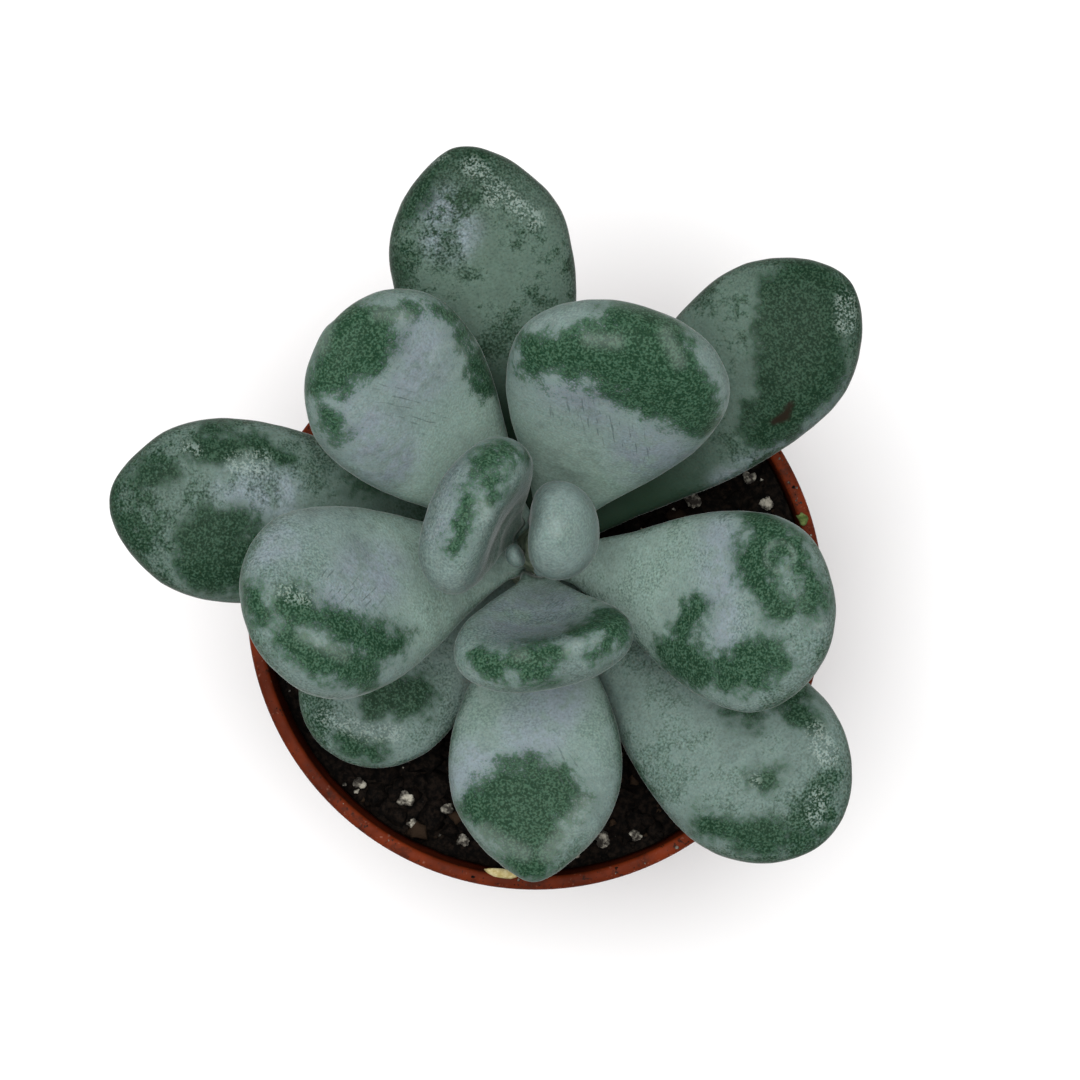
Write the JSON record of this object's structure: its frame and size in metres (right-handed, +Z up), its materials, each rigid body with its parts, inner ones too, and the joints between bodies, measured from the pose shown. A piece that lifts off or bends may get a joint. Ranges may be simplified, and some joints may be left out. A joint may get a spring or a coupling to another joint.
{
  "type": "potted succulent",
  "caption": "Small houseplant: a rosette of thick, rounded, waxy blue-green leaves on a short stem, growing in soil in a round tapered plastic nursery pot.",
  "frame": {"origin": "centre of the pot's underside, on the surface that it stands on", "axes": "+Z up along the pot's axis, +Y towards the longest leaf at the back, +X to the right"},
  "size_m": [0.0698, 0.0697, 0.0836],
  "materials": {
    "terracotta_plastic": "satin",
    "peat_soil": "matte",
    "perlite": "matte",
    "stem_bark": "matte",
    "leaf_skin": "matte"
  },
  "bodies": {
    "root": {"nursery_pot": "terracotta_plastic", "potting_soil": "peat_soil", "stem": "stem_bark", "outer_leaf_1": "leaf_skin", "outer_leaf_2": "leaf_skin", "outer_leaf_3": "leaf_skin", "outer_leaf_4": "leaf_skin", "outer_leaf_5": "leaf_skin", "outer_leaf_6": "leaf_skin", "middle_leaf_1": "leaf_skin", "middle_leaf_2": "leaf_skin", "middle_leaf_3": "leaf_skin", "middle_leaf_4": "leaf_skin", "inner_leaf_1": "leaf_skin", "inner_leaf_2": "leaf_skin", "inner_leaf_3": "leaf_skin", "bud_leaf_1": "leaf_skin", "bud_leaf_2": "leaf_skin", "perlite_crumb_01": "perlite", "perlite_crumb_02": "perlite", "perlite_crumb_03": "perlite", "perlite_crumb_04": "perlite", "perlite_crumb_05": "perlite", "perlite_crumb_06": "perlite", "perlite_crumb_07": "perlite", "perlite_crumb_08": "perlite", "perlite_crumb_09": "perlite", "perlite_crumb_10": "perlite", "perlite_crumb_11": "perlite", "perlite_crumb_12": "perlite", "perlite_crumb_13": "perlite", "perlite_crumb_14": "perlite", "perlite_crumb_15": "perlite", "perlite_crumb_16": "perlite"}
  },
  "joints": []
}
